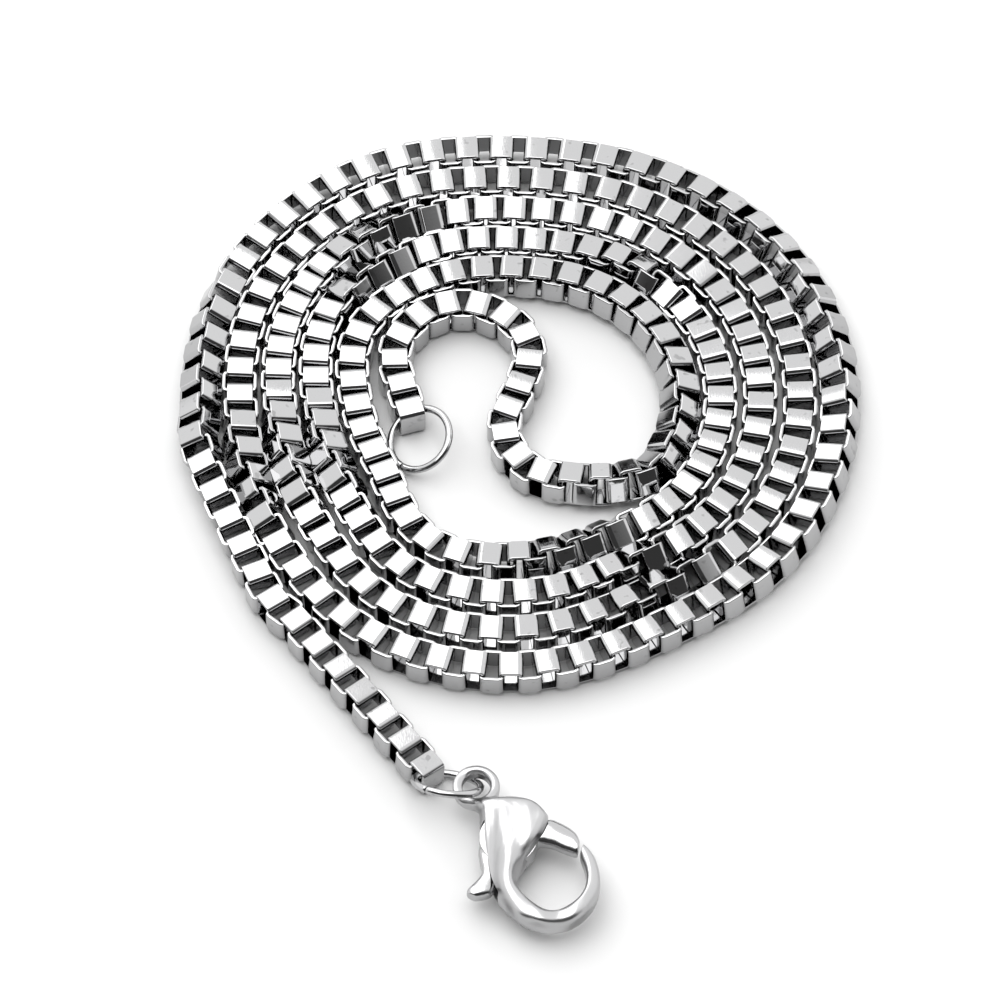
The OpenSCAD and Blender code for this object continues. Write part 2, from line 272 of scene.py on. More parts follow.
class ChainSizes(bpy.types.PropertyGroup):
    width: bpy.props.FloatProperty(
        name="Width", description="Chain width across its flats, the unit of the coil's route",
        default=2.5 * MM, unit="LENGTH",
    )
    across: bpy.props.FloatProperty(
        name="Link width", description="Width of one link across its bends", default=2.62 * MM, unit="LENGTH"
    )
    strip_width: bpy.props.FloatProperty(
        name="Strip width", description="Width of the strip that each link is bent from",
        default=1.9 * MM, unit="LENGTH",
    )
    strip: bpy.props.FloatProperty(
        name="Strip thickness", description="Thickness of that strip", default=0.26 * MM, unit="LENGTH"
    )
    length: bpy.props.FloatProperty(
        name="Link length", description="Length of one link along the chain", default=1.86 * MM, unit="LENGTH"
    )
    pitch: bpy.props.FloatProperty(
        name="Link pitch", description="Distance from one link to the next", default=1.31 * MM, unit="LENGTH"
    )
    bend: bpy.props.FloatProperty(
        name="Bend", description="Outer radius of a link's four bends", default=0.42 * MM, unit="LENGTH"
    )
    edge: bpy.props.FloatProperty(
        name="Edge", description="Width of the bright broken edge", default=0.06 * MM, unit="LENGTH"
    )
    crown: bpy.props.FloatProperty(
        name="Crown", description="How far a link's faces lean towards their bends",
        default=math.radians(1.0), unit="ROTATION",
    )
    slack: bpy.props.FloatProperty(
        name="Slack", description="How far a link may turn in its neighbours",
        default=math.radians(0.9), unit="ROTATION",
    )
    seed: bpy.props.IntProperty(name="Seed", description="Picks how the links have settled", default=7)


class RingSizes(bpy.types.PropertyGroup):
    radius: bpy.props.FloatProperty(
        name="Ring radius", description="Mean radius of the jump rings", default=2.4 * MM, unit="LENGTH"
    )
    wire: bpy.props.FloatProperty(
        name="Wire radius", description="Radius of the rings' wire", default=0.28 * MM, unit="LENGTH"
    )
    joint: bpy.props.FloatProperty(
        name="Butt joint", description="Gap where the wire's ends meet", default=0.03 * MM, unit="LENGTH"
    )


class ClaspSizes(bpy.types.PropertyGroup):
    length: bpy.props.FloatProperty(
        name="Clasp length", description="From the eye's centre to the far end of the hook",
        default=11.6 * MM, unit="LENGTH",
    )
    height: bpy.props.FloatProperty(
        name="Clasp height", description="Thickness of the domed body", default=3.9 * MM, unit="LENGTH"
    )
    eye_radius: bpy.props.FloatProperty(
        name="Eye radius", description="Mean radius of the eye", default=1.35 * MM, unit="LENGTH"
    )
    eye_rim: bpy.props.FloatProperty(
        name="Eye rim", description="Width of the eye's rim seen from above", default=0.7 * MM, unit="LENGTH"
    )
    eye_height: bpy.props.FloatProperty(
        name="Eye height", description="Thickness of the eye's rim", default=1.2 * MM, unit="LENGTH"
    )
    lever_height: bpy.props.FloatProperty(
        name="Lever height", description="Thickness of the lever", default=1.5 * MM, unit="LENGTH"
    )
    hub: bpy.props.FloatProperty(
        name="Hub radius", description="Radius of the lever's hub", default=2.1 * MM, unit="LENGTH"
    )
    gap: bpy.props.FloatProperty(
        name="Lever gap", description="Clearance between the lever and its slot",
        default=0.1 * MM, unit="LENGTH",
    )
    pin: bpy.props.FloatProperty(
        name="Pin radius", description="Radius of the hinge pin", default=0.5 * MM, unit="LENGTH"
    )
    travel: bpy.props.FloatProperty(
        name="Lever travel", description="How far the lever opens", default=math.radians(32), unit="ROTATION"
    )


class SteelLooks(bpy.types.PropertyGroup):
    steel: bpy.props.FloatVectorProperty(
        name="Steel", description="Colour of the polished steel", subtype="COLOR",
        default=(0.44, 0.44, 0.444), min=0, max=1,
    )
    # Painted shade: this darker colour on the links' inside faces stands in for the shade in their holes and
    # in the gaps between them.
    shadowed: bpy.props.FloatVectorProperty(
        name="Painted inside shade", description="Colour painted on the links' inside faces as shade", subtype="COLOR",
        default=(0.37, 0.37, 0.374), min=0, max=1,
    )
    polish: bpy.props.FloatProperty(
        name="Polish", description="Roughness of the polished faces", default=0.05, min=0, max=1
    )
    floor: bpy.props.FloatVectorProperty(
        name="Floor", description="Colour of the floor", subtype="COLOR",
        default=(0.67, 0.67, 0.67), min=0, max=1,
    )


def looks():
    """The settings of the steel and the floor."""
    return bpy.context.scene.steel_looks


def box_middle(node):
    """Middle of a node's box in the frame."""
    low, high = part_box(node)
    return (low + high) / 2


def row_shift():
    """From the tables' origin to the frame's, in metres."""
    middle = box_middle("ring_inner")
    return np.array([middle.x - INNER_RING[0] * MM, middle.y - INNER_RING[1] * MM])


def smooth(a, b, c, d, t):
    """Catmull-Rom blend from b to c."""
    return 0.5 * (2 * b + (c - a) * t + (2 * a - 5 * b + 4 * c - d) * t * t + (3 * b - a - 3 * c + d) * t**3)


def neighbours(rows, i):
    """Rows i - 1 to i + 2, with the end rows standing in past the ends."""
    last = len(rows) - 1
    return [rows[j] for j in (max(i - 1, 0), i, i + 1, min(i + 2, last))]


def coil_row(azimuth, column):
    """One column of the coil's table at any azimuth, round and round."""
    n = len(COIL)
    f = (azimuth % 360) / 360 * n
    i = int(f)
    return smooth(*(COIL[(i + k) % n][column] for k in (-1, 0, 1, 2)), f - i)


def chain_route():
    """Dense route about the coil in mm, and the turn angle at each of its points."""
    across = bpy.context.scene.box_chain_sizes.width / MM
    points, turns = list(INNER_END), [INNER_TURN] * len(INNER_END)
    for k in range(len(INNER_END) - INNER_TURNING, len(INNER_END)):
        x, y = INNER_END[k]
        turns[k] = math.degrees(math.atan2(y - COIL_CENTRE[1], x - COIL_CENTRE[0]))
    for turn in range(COIL_FROM, COIL_TO + 1, COIL_STEP):
        reach = across * (coil_row(turn, 1) + coil_row(turn, 2) * turn / 360)
        bearing = math.radians(turn)
        x = COIL_CENTRE[0] + reach * math.cos(bearing)
        y = COIL_CENTRE[1] + reach * math.sin(bearing)
        points.append((x, y))
        turns.append(turn)
    for k in range(TAIL_PARTS + 1):
        points.append(tuple(np.array(TAIL[0]) + (np.array(TAIL[1]) - TAIL[0]) * k / TAIL_PARTS))
        turns.append(TAIL_FROM + TAIL_STEP * k)
    points, turns = np.array(points), np.array(turns, float)
    fine, fine_turns = [], []
    for i in range(len(points) - 1):
        for k in range(ROUTE_FINE):
            fine.append(smooth(*neighbours(points, i), k / ROUTE_FINE))
            fine_turns.append(turns[i] + (turns[i + 1] - turns[i]) * k / ROUTE_FINE)
    fine.append(points[-1])
    fine_turns.append(turns[-1])
    return np.array(fine), np.array(fine_turns)


def link_stations():
    """Where each link lies: x, y, height in metres, heading and roll in radians."""
    sizes = bpy.context.scene.box_chain_sizes
    route, turns = chain_route()
    along = np.concatenate([[0], np.cumsum(np.linalg.norm(np.diff(route, axis=0), axis=1))])
    crowding = np.interp(turns, *zip(*CROWDING))
    pitch = sizes.pitch / MM
    step = np.diff(along) / ((crowding[1:] + crowding[:-1]) / 2 * pitch)
    count = np.concatenate([[0], np.cumsum(step)])
    links = int(round(count[-1] / 2)) * 2
    places = np.interp(np.arange(links + 1), count * links / count[-1], along)
    x, y = (np.interp(places, along, route[:, k]) for k in (0, 1))
    turn = np.interp(places, along, turns)
    ahead, behind = (np.clip(places + d, 0, along[-1]) for d in (HEADING_REACH, -HEADING_REACH))
    dx, dy = (np.interp(ahead, along, route[:, k]) - np.interp(behind, along, route[:, k]) for k in (0, 1))
    heading = np.arctan2(dy, dx)
    roll = np.radians(np.interp(turn, *zip(*ROLL)))
    fold = np.abs(roll - np.pi / 2 * np.round(roll / (np.pi / 2)))
    height = sizes.across / 2 * np.cos(fold) + sizes.strip_width / 2 * np.sin(fold)
    shift = row_shift()
    stations = np.column_stack([x * MM + shift[0], y * MM + shift[1], height])
    return stations, heading, roll


def mesh_object(name, verts, faces):
    """A new object in the scene with a mesh of these points and faces."""
    mesh = bpy.data.meshes.new(name)
    mesh.from_pydata([tuple(v) for v in verts], [], [tuple(f) for f in faces])
    mesh.update()
    thing = bpy.data.objects.new(name, mesh)
    bpy.context.scene.collection.objects.link(thing)
    return thing


def remove_object(thing):
    """Takes an object and its mesh out of the file."""
    mesh = thing.data
    bpy.data.objects.remove(thing)
    bpy.data.meshes.remove(mesh)


def applied(thing, name):
    """The evaluated mesh of thing as a plain object called name; thing goes."""
    graph = bpy.context.evaluated_depsgraph_get()
    made = thing.evaluated_get(graph)
    mesh = bpy.data.meshes.new_from_object(made, preserve_all_data_layers=True, depsgraph=graph)
    bpy.data.objects.remove(thing)
    plain = bpy.data.objects.new(name, mesh)
    mesh.name = name
    bpy.context.scene.collection.objects.link(plain)
    return plain


def paint(thing, material):
    """Gives thing this material alone."""
    thing.data.materials.clear()
    thing.data.materials.append(material)


def box_link():
    """One link lying flat: a strip bent into a square loop, its length along x."""
    s = bpy.context.scene.box_chain_sizes
    half = (s.length / 2, s.across / 2)
    corners = []
    for k, (sx, sy) in enumerate(((1, 1), (-1, 1), (-1, -1), (1, -1))):
        for step in (0, 0.5, 1):
            bearing = math.radians(90 * (k + step))
            centre = Vector((sx * (half[0] - s.bend), sy * (half[1] - s.bend), 0))
            lit = bearing + s.crown * (1 - 2 * step)
            corners.append((
                centre,
                Vector((math.cos(bearing), math.sin(bearing), 0)),
                Vector((math.cos(lit), math.sin(lit), 0)),
            ))
    top = s.strip_width / 2
    section = (
        (0, top - s.edge), (-s.edge, top), (-s.strip, top),
        (-s.strip, -top), (-s.edge, -top), (0, -top + s.edge),
    )
    verts, faces, inside, leans = [], [], [], []
    for centre, out, lit in corners:
        for inset, z in section:
            verts.append(centre + out * (s.bend + inset) + Vector((0, 0, z)))
    n, m = len(corners), len(section)
    for i in range(n):
        j = (i + 1) % n
        for k in range(m):
            k2 = (k + 1) % m
            faces.append((i * m + k, j * m + k, j * m + k2, i * m + k2))
            inside.append(1.0 if k == INSIDE_FACE else 0.0)
            for station, side in ((i, 0), (j, 0), (j, 1), (i, 1)):
                a = math.radians(LINK_LEAN[k][side])
                leans.append(corners[station][2] * math.cos(a) + Vector((0, 0, math.sin(a))))
    link = mesh_object("box_link", verts, faces)
    link.data.polygons.foreach_set("use_smooth", [True] * len(faces))
    link.data.normals_split_custom_set(leans)
    # The inside mask marks the faces that the chain's steel paints with shade.
    mask = link.data.attributes.new("inside", "FLOAT", "FACE")
    mask.data.foreach_set("value", inside)
    return link


def new_group(name, kind, inputs, outputs):
    """A node group, its input node's outputs and its output node's inputs."""
    group = bpy.data.node_groups.new(name, kind)
    for in_out, sockets in (("INPUT", inputs), ("OUTPUT", outputs)):
        for label, socket in sockets.items():
            group.interface.new_socket(label, in_out=in_out, socket_type="NodeSocket" + socket)
    return group, group.nodes.new("NodeGroupInput").outputs, group.nodes.new("NodeGroupOutput").inputs


def add(tree, kind, inputs=None, **settings):
    """A new node: its settings, then its inputs, each given a value or joined to another's output."""
    node = tree.nodes.new(kind)
    for name, value in settings.items():
        setattr(node, name, value)
    for name, value in (inputs or {}).items():
        if isinstance(value, bpy.types.NodeSocket):
            tree.links.new(value, node.inputs[name])
        else:
            node.inputs[name].default_value = value
    return node


def links_tree():
    """Geometry Nodes: a link on every station, turned by its heading and roll, with some slack."""
    tree, given, out = new_group(
        "Links along the chain", "GeometryNodeTree",
        {"Geometry": "Geometry", "Link": "Object", "Slack": "Float", "Seed": "Int", "Material": "Material"},
        {"Geometry": "Geometry"},
    )
    points = add(tree, "GeometryNodeMeshToPoints", {"Mesh": given["Geometry"]})
    roll, heading = (
        add(tree, "GeometryNodeInputNamedAttribute", {"Name": name}, data_type="FLOAT").outputs["Attribute"]
        for name in ("roll", "heading")
    )
    route = add(tree, "ShaderNodeCombineXYZ", {"X": roll, "Z": heading})
    least = add(tree, "ShaderNodeMath", {0: given["Slack"], 1: -1}, operation="MULTIPLY")
    play = add(
        tree, "FunctionNodeRandomValue",
        {"Min": least.outputs[0], "Max": given["Slack"], "Seed": given["Seed"]}, data_type="FLOAT_VECTOR",
    )
    both = add(tree, "ShaderNodeVectorMath", {0: route.outputs[0], 1: play.outputs["Value"]})
    turn = add(tree, "FunctionNodeEulerToRotation", {0: both.outputs[0]})
    picked = add(tree, "GeometryNodeObjectInfo", {"Object": given["Link"], "As Instance": True})
    laid = add(tree, "GeometryNodeInstanceOnPoints", {
        "Points": points.outputs["Points"],
        "Instance": picked.outputs["Geometry"],
        "Rotation": turn.outputs[0],
    })
    real = add(tree, "GeometryNodeRealizeInstances", {"Geometry": laid.outputs["Instances"]})
    dressed = add(tree, "GeometryNodeSetMaterial", {
        "Geometry": real.outputs["Geometry"],
        "Material": given["Material"],
    })
    tree.links.new(dressed.outputs["Geometry"], out["Geometry"])
    return tree


def set_inputs(modifier, tree, **values):
    """Sets a Geometry Nodes modifier's inputs by their names."""
    for item in tree.interface.items_tree:
        if item.item_type == "SOCKET" and item.in_out == "INPUT" and item.name in values:
            modifier[item.identifier] = values[item.name]


def polishing_marks():
    """Fine scratches, faint smudges, slow waves and flecks: a roughness, a bumped normal, a mask."""
    if "Polishing marks" in bpy.data.node_groups:
        return bpy.data.node_groups["Polishing marks"]
    group, given, out = new_group(
        "Polishing marks", "ShaderNodeTree",
        {"Polish": "Float", "Smudges": "Float", "Depth": "Float", "Scale": "Float", "Waves": "Float"},
        {"Roughness": "Float", "Normal": "Vector", "Flecks": "Float"},
    )
    where = add(group, "ShaderNodeTexCoord").outputs["Object"]

    # Smudges are broad patches that are a little rougher.
    broad = add(group, "ShaderNodeTexNoise", {"Vector": where, "Scale": given["Scale"], "Detail": 2})
    spread = add(group, "ShaderNodeMapRange", {
        "Value": broad.outputs["Fac"],
        "From Min": 0.35,
        "From Max": 0.7,
    })
    rough = add(
        group, "ShaderNodeMath",
        {0: spread.outputs["Result"], 1: given["Smudges"], 2: given["Polish"]}, operation="MULTIPLY_ADD",
    )
    group.links.new(rough.outputs[0], out["Roughness"])

    # Waves are drawn out one way and scratches, far finer, another way.
    drawn = add(group, "ShaderNodeMapping", {
        "Vector": where,
        "Scale": (1, 0.3, 1),
        "Rotation": (0, 0, math.radians(10)),
    })
    wavy = add(group, "ShaderNodeTexNoise", {
        "Vector": drawn.outputs["Vector"],
        "Scale": WAVE_SCALE,
        "Detail": 0,
    })
    waves = add(group, "ShaderNodeBump", {
        "Distance": WAVE_DEPTH * MM,
        "Strength": given["Waves"],
        "Height": wavy.outputs["Fac"],
    })
    stretch = add(group, "ShaderNodeMapping", {
        "Vector": where,
        "Scale": (1, 0.22, 1),
        "Rotation": (0, 0, math.radians(28)),
    })
    finer = add(group, "ShaderNodeMath", {0: given["Scale"], 1: SCRATCH_SCALE}, operation="MULTIPLY")
    fine = add(group, "ShaderNodeTexNoise", {
        "Vector": stretch.outputs["Vector"],
        "Scale": finer.outputs[0],
        "Detail": 3,
    })
    bump = add(group, "ShaderNodeBump", {
        "Distance": SCRATCH_DEPTH * MM,
        "Strength": given["Depth"],
        "Height": fine.outputs["Fac"],
        "Normal": waves.outputs["Normal"],
    })
    group.links.new(bump.outputs["Normal"], out["Normal"])

    # Flecks are the highest peaks of a fine noise.
    spots = add(group, "ShaderNodeTexNoise", {"Vector": where, "Scale": FLECK_SCALE, "Detail": 1})
    flecks = add(group, "ShaderNodeMapRange", {
        "Value": spots.outputs["Fac"],
        "From Min": 0.66,
        "From Max": 0.76,
    })
    group.links.new(flecks.outputs["Result"], out["Flecks"])
    return group


def steel(name, colour, polish, smudges=0.02, depth=0.05, scale=900.0, waves=0.0, inside=None):
    """Polished steel, with dark flecks where it has no waves.

    Where the mesh has an inside mask, the inside faces take the colour given, a painted shade that darkens
    the holes and gaps between links.
    """
    if name in bpy.data.materials:
        return bpy.data.materials[name]
    material = bpy.data.materials.new(name)
    material.use_nodes = True
    tree = material.node_tree
    metal = tree.nodes["Principled BSDF"].inputs
    metal["Metallic"].default_value = 1.0
    given = {"Polish": polish, "Smudges": smudges, "Depth": depth, "Scale": scale, "Waves": waves}
    marks = add(tree, "ShaderNodeGroup", given, node_tree=polishing_marks())
    tree.links.new(marks.outputs["Roughness"], metal["Roughness"])
    tree.links.new(marks.outputs["Normal"], metal["Normal"])
    shade = FLECK_SHADE if waves == 0 else 1
    skin = add(tree, "ShaderNodeMix", {
        "Factor": marks.outputs["Flecks"],
        "A": (*colour, 1),
        "B": (*(shade * c for c in colour), 1),
    }, data_type="RGBA")
    # Painted shade: the faces in the inside mask take the darker colour given.
    if inside is not None:
        mask = add(tree, "ShaderNodeAttribute", attribute_name="inside")
        skin = add(tree, "ShaderNodeMix", {
            "Factor": mask.outputs["Fac"],
            "A": skin.outputs["Result"],
            "B": (*inside, 1),
        }, data_type="RGBA")
    tree.links.new(skin.outputs["Result"], metal["Base Color"])
    return material


def chain_steel():
    look = looks()
    # The links' inside faces take the shadowed colour as painted shade.
    return steel("Chain steel", look.steel, look.polish, inside=look.shadowed)


def ring_steel():
    look = looks()
    return steel("Ring steel", look.steel, look.polish * RING_ROUGH)


def clasp_steel():
    look = looks()
    rough = look.polish * CLASP_ROUGH
    return steel("Clasp steel", look.steel, rough, smudges=0.05, depth=0.03, scale=500.0, waves=1.0)


def lever_steel():
    look = looks()
    softer = tuple(LEVER_SHADE * c for c in look.steel)
    return steel("Lever steel", softer, look.polish * LEVER_ROUGH, depth=0.06, waves=0.25)


def ring_frame(bearing, tilt):
    """Level axis, the axis across it in the ring's plane, and the ring's own axis."""
    b, t = math.radians(bearing), math.radians(tilt)
    h = Vector((math.cos(b), math.sin(b), 0))
    g = Vector((-math.sin(b) * math.cos(t), math.cos(b) * math.cos(t), math.sin(t)))
    return h, g, h.cross(g)


def closed_skin(rings):
    """Faces of a skin through rings of equal length, closed by a cap at each end."""
    n = len(rings[0])
    faces = []
    for i in range(len(rings) - 1):
        for k in range(n):
            a, b = i * n + k, i * n + (k + 1) % n
            faces.append((a, a + n, b + n, b))
    faces.append(tuple(range(n)))
    faces.append(tuple(range(len(rings) * n - 1, (len(rings) - 1) * n - 1, -1)))
    return faces


def right_way_round(thing):
    """Merges doubled points and turns every face outward."""
    work = bmesh.new()
    work.from_mesh(thing.data)
    bmesh.ops.remove_doubles(work, verts=work.verts, dist=1e-9)
    bmesh.ops.recalc_face_normals(work, faces=work.faces)
    work.to_mesh(thing.data)
    work.free()


def skinned(name, rings):
    """A closed skin through rings of points."""
    skin = mesh_object(name, [v for r in rings for v in r], closed_skin(rings))
    right_way_round(skin)
    return skin


def jump_ring(name, centre, bearing, tilt, opening):
    """A wire ring with its butt joint at the angle given, in degrees, and its ends slightly broken."""
    sizes = bpy.context.scene.jump_ring_sizes
    h, g, axis = ring_frame(bearing, tilt)
    gap = sizes.joint / sizes.radius / 2
    start = math.radians(opening) + gap
    rings = []
    for i in range(WIRE_STEPS + 1):
        a = start + (2 * math.pi - 2 * gap) * i / WIRE_STEPS
        out = h * math.cos(a) + g * math.sin(a)
        wire = sizes.wire * (WIRE_END if i in (0, WIRE_STEPS) else 1.0)
        section = []
        for k in range(WIRE_SIDES):
            b = 2 * math.pi * k / WIRE_SIDES
            section.append(centre + out * (sizes.radius + wire * math.cos(b)) + axis * wire * math.sin(b))
        rings.append(section)
    ring = skinned(name, rings)
    ring.data.polygons.foreach_set("use_smooth", [len(p.vertices) == 4 for p in ring.data.polygons])
    ring.data.materials.append(ring_steel())
    return ring


def pin_place():
    """Where the lever's hinge is in the frame."""
    return Vector(FRAME["joints"][0]["pos_m"])


def eye_place():
    """The eye's centre, worked out from the hinge."""
    size = bpy.context.scene.clasp_sizes.length
    return pin_place() - Vector((PIN_AT[0] * size, PIN_AT[1] * size, 0))


def paired_skin(name, table, centre, length, height, lean=0.0):
    """A closed skin swept between two edges seen from above, each section a rounded square.

    Where it is domed, its upper ridge leans towards the second edge.
    """
    rows = [np.array(r, float) for r in table]
    dense = []
    for i in range(len(rows) - 1):
        for k in range(SKIN_FINE):
            dense.append(smooth(*neighbours(rows, i), k / SKIN_FINE))
    dense.append(rows[-1])
    rings = []
    for r in dense:
        left, right = np.array(r[0:2]) * length, np.array(r[2:4]) * length
        half_height, squareness = r[4:6]
        domed = lean * min(max((half_height - DOME_FROM) / DOME_RISE, 0), 1)
        section = []
        for k in range(SKIN_SIDES):
            a = 2 * math.pi * k / SKIN_SIDES
            c, s = math.cos(a), math.sin(a)
            c, s = (math.copysign(abs(v) ** (2 / squareness), v) for v in (c, s))
            flat = (left + right) / 2 + (right - left) / 2 * (c + domed * max(s, 0) ** DOME_POWER)
            section.append(centre + Vector((flat[0], flat[1], height * half_height * s)))
        rings.append(section)
    return skinned(name, rings)


def stadium_ring(name, centre, radius, rim, height):
    """A closed ring lying flat with a rounded upright section."""
    straight = (height - rim) / 2
    section = []
    for k in range(EYE_SIDES):
        a = 2 * math.pi * k / EYE_SIDES
        section.append((rim / 2 * math.cos(a), rim / 2 * math.sin(a) + math.copysign(straight, math.sin(a))))
    verts, faces = [], []
    n, m = EYE_STEPS, EYE_SIDES
    for i in range(n):
        b = 2 * math.pi * i / n
        for r, z in section:
            verts.append(centre + Vector(((radius + r) * math.cos(b), (radius + r) * math.sin(b), z)))
    for i in range(n):
        for k in range(m):
            a, b = i * m + k, (i + 1) % n * m + k
            faces.append((a, b, (i + 1) % n * m + (k + 1) % m, i * m + (k + 1) % m))
    ring = mesh_object(name, verts, faces)
    right_way_round(ring)
    return ring


def prism(name, outline, centre, low, high):
    """An upright solid over an outline given about centre, in metres."""
    n = len(outline)
    verts = [centre + Vector((x, y, z)) for z in (low, high) for x, y in outline]
    faces = [tuple(range(n - 1, -1, -1)), tuple(range(n, 2 * n))]
    faces += [(k, (k + 1) % n, (k + 1) % n + n, k + n) for k in range(n)]
    solid = mesh_object(name, verts, faces)
    right_way_round(solid)
    return solid


def circle_outline(radius, count):
    """A circle about its centre, with so many sides."""
    angles = [2 * math.pi * k / count for k in range(count)]
    return [(radius * math.cos(a), radius * math.sin(a)) for a in angles]


def wedge_outline(radius, start, end):
    """A slice of a circle between two bearings in degrees."""
    steps = [math.radians(start + (end - start) * k / WEDGE_STEPS) for k in range(WEDGE_STEPS + 1)]
    return [(0, 0)] + [(radius * math.cos(a), radius * math.sin(a)) for a in steps]


def slot_wedge(table, sizes):
    """Room for an arm of the lever, from its resting place through its whole travel."""
    spare = SLOT_SPARE * math.degrees(math.asin(sizes.gap / sizes.hub))
    ends = [(r[k], r[k + 1]) for r in table for k in (0, 2)]
    clear = [(x, y) for x, y in ends if math.hypot(x, y) * sizes.length > sizes.hub]
    bearings = [math.degrees(math.atan2(y, x)) for x, y in clear]
    opened = min(bearings) - spare - math.degrees(sizes.travel)
    return wedge_outline(sizes.length * SLOT_REACH, max(bearings) + spare, opened)


def fused(name, parts, grain, rounds):
    """The parts grown together into one skin, with soft inner corners."""
    whole = parts[0]
    with bpy.context.temp_override(
        active_object=whole, selected_editable_objects=parts, selected_objects=parts
    ):
        bpy.ops.object.join()
    remesh = whole.modifiers.new("Remesh", "REMESH")
    remesh.mode = "VOXEL"
    remesh.voxel_size = grain * MM
    soften = whole.modifiers.new("Soften", "SMOOTH")
    soften.factor = SOFTENING
    soften.iterations = rounds
    return applied(whole, name)


def cut_away(thing, cutters, name):
    """Thing without the cutters' room, as a plain object called name; the cutters go."""
    for cutter in cutters:
        cut = thing.modifiers.new("Cut", "BOOLEAN")
        cut.operation = "DIFFERENCE"
        cut.solver = "EXACT"
        cut.object = cutter
    whole = applied(thing, name)
    for cutter in cutters:
        remove_object(cutter)
    return whole


def soft_shading(thing, degrees):
    """Smooth faces, with every edge sharper than this left crisp."""
    limit = math.radians(degrees)
    work = bmesh.new()
    work.from_mesh(thing.data)
    for face in work.faces:
        face.smooth = True
    for edge in work.edges:
        edge.smooth = len(edge.link_faces) == 2 and edge.calc_face_angle(0) < limit
    work.to_mesh(thing.data)
    work.free()


class BOXCHAIN_OT_links(bpy.types.Operator):
    """Lay the box links along the coil and the tail"""

    bl_idname = "box_chain.links"
    bl_label = "Lay the links"

    def execute(self, context):
        sizes = context.scene.box_chain_sizes
        places, heading, roll = link_stations()
        stations = mesh_object("chain_links_stations", places, [])
        upright = np.where(np.arange(len(places)) % 2 == 0, math.pi / 2, 0)
        for name, values in (("heading", heading), ("roll", upright - roll)):
            held = stations.data.attributes.new(name, "FLOAT", "POINT")
            held.data.foreach_set("value", values.astype(np.float32))
        link = box_link()
        tree = links_tree()
        modifier = stations.modifiers.new("Links", "NODES")
        modifier.node_group = tree
        set_inputs(modifier, tree, Link=link, Slack=sizes.slack, Seed=sizes.seed, Material=chain_steel())
        chain = applied(stations, "chain_links")
        remove_object(link)
        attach(chain, "chain")
        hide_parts("chain_coil", "chain_tail")
        return {"FINISHED"}


class BOXCHAIN_OT_rings(bpy.types.Operator):
    """Make the two jump rings"""

    bl_idname = "box_chain.rings"
    bl_label = "Make the jump rings"

    def execute(self, context):
        for name, (bearing, tilt, opening) in RINGS.items():
            ring = jump_ring(name + "_wire", box_middle(name), bearing, tilt, opening)
            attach(ring, "chain")
            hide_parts(name)
        return {"FINISHED"}


class BOXCHAIN_OT_clasp(bpy.types.Operator):
    """Make the clasp's body with its eye and hook"""

    bl_idname = "box_chain.clasp"
    bl_label = "Make the clasp's body"

    def execute(self, context):
        s = context.scene.clasp_sizes
        eye, pin = eye_place(), pin_place()
        skin = paired_skin("clasp_skin", CLASP, eye, s.length, s.height, lean=DOME_LEAN)
        rim = stadium_ring("clasp_eye", eye, s.eye_radius, s.eye_rim, s.eye_height)
        body = fused("clasp_casting", [skin, rim], BODY_GRAIN, BODY_SOFT)
        half = s.lever_height / 2 + s.gap
        bore = circle_outline(s.pin + PRESSED_PLAY * MM, BORE_SIDES)
        cutters = [
            prism("slot_hub", circle_outline(s.hub + s.gap, HUB_SIDES), pin, -half, half),
            prism("slot_gate", slot_wedge(GATE, s), pin, -half, half),
            prism("slot_tab", slot_wedge(TAB, s), pin, -half, half),
            prism("pin_bore", bore, pin, -s.height, s.height / 2 - PIN_ROOF * MM),
        ]
        body = cut_away(body, cutters, "clasp_casting")
        soft_shading(body, CRISP)
        paint(body, clasp_steel())
        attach(body, "chain")
        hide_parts("clasp_body")
        paint(FRAME["nodes"]["clasp_pin"], clasp_steel())
        return {"FINISHED"}


class BOXCHAIN_OT_lever(bpy.types.Operator):
    """Make the lever with its gate arm and thumb tab"""

    bl_idname = "box_chain.lever"
    bl_label = "Make the lever"

    def execute(self, context):
        s = context.scene.clasp_sizes
        pin = pin_place()
        half = s.lever_height / 2
        parts = [
            prism("lever_hub", circle_outline(s.hub, HUB_SIDES), pin, -half, half),
            paired_skin("lever_gate", GATE, pin, s.length, s.lever_height),
            paired_skin("lever_tab", TAB, pin, s.length, s.lever_height),
        ]
        lever = fused("lever", parts, LEVER_GRAIN, LEVER_SOFT)
        bore = circle_outline(s.pin + RUNNING_PLAY * MM, BORE_SIDES)
        lever = cut_away(lever, [prism("lever_bore", bore, pin, -s.height, s.height)], "lever")
        soft_shading(lever, CRISP)
        paint(lever, lever_steel())
        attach(lever, "lever")
        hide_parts("clasp_lever")
        return {"FINISHED"}


def softbox():
    """A broad light overhead, looking straight down."""
    light = bpy.data.lights.new("Ceiling softbox", "AREA")
    light.shape = "RECTANGLE"
    light.size, light.size_y = SOFTBOX_SIZE
    light.energy = SOFTBOX_POWER
    lamp = bpy.data.objects.new("Ceiling softbox", light)
    lamp.location = SOFTBOX_AT
    lamp.rotation_euler = (0, 0, math.radians(SOFTBOX_TURN))
    bpy.context.scene.collection.objects.link(lamp)


def room_world():
    """A pale room that is dark on the camera's side."""
    world = bpy.data.worlds.new("Room")
    world.use_nodes = True
    tree = world.node_tree
    where = add(tree, "ShaderNodeTexCoord")
    parts = add(tree, "ShaderNodeSeparateXYZ", {0: where.outputs["Generated"]})
    fade = add(tree, "ShaderNodeMapRange", {
        "Value": parts.outputs["Y"],
        "From Min": ROOM_FADE[0],
        "From Max": ROOM_FADE[1],
        "To Min": ROOM_NEAR,
        "To Max": ROOM_FAR,
    }, interpolation_type="SMOOTHSTEP")
    background = tree.nodes["Background"].inputs
    tree.links.new(fade.outputs["Result"], background["Strength"])
    background["Color"].default_value = (1, 1, 1, 1)
    return world


